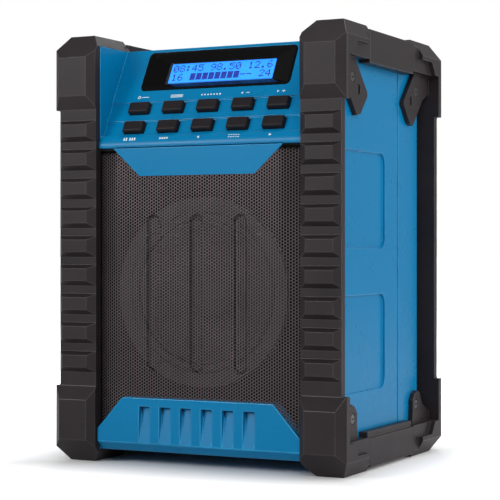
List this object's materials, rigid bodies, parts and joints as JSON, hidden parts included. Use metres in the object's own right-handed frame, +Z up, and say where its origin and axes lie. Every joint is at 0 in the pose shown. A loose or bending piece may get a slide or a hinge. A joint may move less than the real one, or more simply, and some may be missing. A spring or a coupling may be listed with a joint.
{
  "type": "jobsite radio",
  "caption": "Portable jobsite radio: blue moulded case with sloping button panel, lit display and perforated speaker grille in a ribbed black corner cage.",
  "frame": {"origin": "bottom centre of the whole radio, on the surface it stands on", "axes": "+X to the radio's left side seen from behind (right of the front view), front panel faces -Y, +Z up"},
  "size_m": [0.186, 0.158, 0.25],
  "materials": {
    "blue_shell": "satin moulded blue plastic",
    "cage_plastic": "fine-textured black plastic",
    "grille_metal": "dark grey-brown painted perforated steel",
    "button_plastic": "matt dark plastic",
    "bezel_plastic": "glossy black plastic",
    "window_glass": "clear window",
    "lcd_glass": "lit blue character display",
    "circuit_board": "green solder mask",
    "dark_plastic": "black moulded plastic",
    "steel": "zinc-plated steel",
    "bright_metal": "bright plated brass",
    "soft_rubber": "matt black rubber",
    "paper_cone": "pressed paper",
    "coil_former": "wound former",
    "ferrite": "ferrite and plated steel",
    "cell_wrap": "shrink wrap",
    "bare_aluminium": "bare aluminium"
  },
  "bodies": {
    "case": {"amplifier_heatsink": "bare_aluminium", "antenna_bracket": "bright_metal", "antenna_clip": "cage_plastic", "aux_socket": "dark_plastic", "battery_pack": "cell_wrap", "bottom_rail_left": "cage_plastic", "bottom_rail_right": "cage_plastic", "carry_bar": "cage_plastic", "case_screws": "steel", "control_board": "circuit_board", "dc_socket": "dark_plastic", "display_bezel": "bezel_plastic", "display_window": "window_glass", "frame_screws": "steel", "front_shell": "blue_shell", "lcd_module": "lcd_glass", "lower_trim": "blue_shell", "main_board": "circuit_board", "post_front_left": "cage_plastic", "post_front_right": "cage_plastic", "post_rear_left": "cage_plastic", "post_rear_right": "cage_plastic", "rear_shell": "blue_shell", "speaker_basket": "steel", "speaker_gasket": "soft_rubber", "speaker_grille": "grille_metal", "speaker_magnet": "ferrite", "speaker_screws": "steel", "speaker_spider": "paper_cone", "speaker_surround": "soft_rubber", "tact_switches": "dark_plastic", "top_rail_left": "cage_plastic", "top_rail_right": "cage_plastic", "tuner_module": "steel", "usb_socket": "steel"},
    "button_lower_1": {"button_lower_1": "button_plastic"},
    "button_lower_2": {"button_lower_2": "button_plastic"},
    "button_lower_3": {"button_lower_3": "button_plastic"},
    "button_lower_4": {"button_lower_4": "button_plastic"},
    "button_lower_5": {"button_lower_5": "button_plastic"},
    "button_upper_1": {"button_upper_1": "button_plastic"},
    "button_upper_2": {"button_upper_2": "button_plastic"},
    "button_upper_3": {"button_upper_3": "button_plastic"},
    "button_upper_4": {"button_upper_4": "button_plastic"},
    "button_upper_5": {"button_upper_5": "button_plastic"},
    "cone": {"speaker_cone": "paper_cone", "dust_cap": "paper_cone", "voice_coil": "coil_former"},
    "door": {"battery_door": "cage_plastic"},
    "fastener": {"door_screw": "button_plastic"},
    "flap": {"socket_flap": "soft_rubber"},
    "mast_foot": {"antenna_knuckle": "cage_plastic", "antenna_lower_tube": "bright_metal"},
    "mast_middle": {"antenna_middle_tube": "bright_metal"},
    "mast_end": {"antenna_tip_rod": "bright_metal", "antenna_tip": "bright_metal"}
  },
  "joints": [
    {"name": "button_lower_1_press", "type": "slide", "parent": "case", "child": "button_lower_1", "axis": [0, 0.8762, -0.4819], "range_m": [0, 0.001], "stiffness_N_per_m": 300},
    {"name": "button_lower_2_press", "type": "slide", "parent": "case", "child": "button_lower_2", "axis": [0, 0.8762, -0.4819], "range_m": [0, 0.001], "stiffness_N_per_m": 300},
    {"name": "button_lower_3_press", "type": "slide", "parent": "case", "child": "button_lower_3", "axis": [0, 0.8762, -0.4819], "range_m": [0, 0.001], "stiffness_N_per_m": 300},
    {"name": "button_lower_4_press", "type": "slide", "parent": "case", "child": "button_lower_4", "axis": [0, 0.8762, -0.4819], "range_m": [0, 0.001], "stiffness_N_per_m": 300},
    {"name": "button_lower_5_press", "type": "slide", "parent": "case", "child": "button_lower_5", "axis": [0, 0.8762, -0.4819], "range_m": [0, 0.001], "stiffness_N_per_m": 300},
    {"name": "button_upper_1_press", "type": "slide", "parent": "case", "child": "button_upper_1", "axis": [0, 0.8762, -0.4819], "range_m": [0, 0.001], "stiffness_N_per_m": 300},
    {"name": "button_upper_2_press", "type": "slide", "parent": "case", "child": "button_upper_2", "axis": [0, 0.8762, -0.4819], "range_m": [0, 0.001], "stiffness_N_per_m": 300},
    {"name": "button_upper_3_press", "type": "slide", "parent": "case", "child": "button_upper_3", "axis": [0, 0.8762, -0.4819], "range_m": [0, 0.001], "stiffness_N_per_m": 300},
    {"name": "button_upper_4_press", "type": "slide", "parent": "case", "child": "button_upper_4", "axis": [0, 0.8762, -0.4819], "range_m": [0, 0.001], "stiffness_N_per_m": 300},
    {"name": "button_upper_5_press", "type": "slide", "parent": "case", "child": "button_upper_5", "axis": [0, 0.8762, -0.4819], "range_m": [0, 0.001], "stiffness_N_per_m": 300},
    {"name": "cone_travel", "type": "slide", "parent": "case", "child": "cone", "axis": [0, -1, 0], "range_m": [-0.0015, 0.0015], "stiffness_N_per_m": 1500},
    {"name": "door_hinge", "type": "hinge", "parent": "case", "child": "door", "pos_m": [0, 0.0619, 0.0182], "axis": [-1, 0, 0], "range_deg": [0, 90]},
    {"name": "fastener_turn", "type": "hinge", "parent": "door", "child": "fastener", "pos_m": [0, 0.0634, 0.0878], "axis": [0, -1, 0], "range_deg": [0, 90]},
    {"name": "flap_hinge", "type": "hinge", "parent": "case", "child": "flap", "pos_m": [0, 0.0624, 0.1302], "axis": [-1, 0, 0], "range_deg": [0, 90]},
    {"name": "antenna_swing", "type": "hinge", "parent": "case", "child": "mast_foot", "pos_m": [0.057, 0.0665, 0.196], "axis": [0, 1, 0], "range_deg": [0, 90]},
    {"name": "middle_tube_slide", "type": "slide", "parent": "mast_foot", "child": "mast_middle", "axis": [-1, 0, 0], "range_m": [0, 0.09]},
    {"name": "tip_rod_slide", "type": "slide", "parent": "mast_middle", "child": "mast_end", "axis": [-1, 0, 0], "range_m": [0, 0.09]}
  ]
}
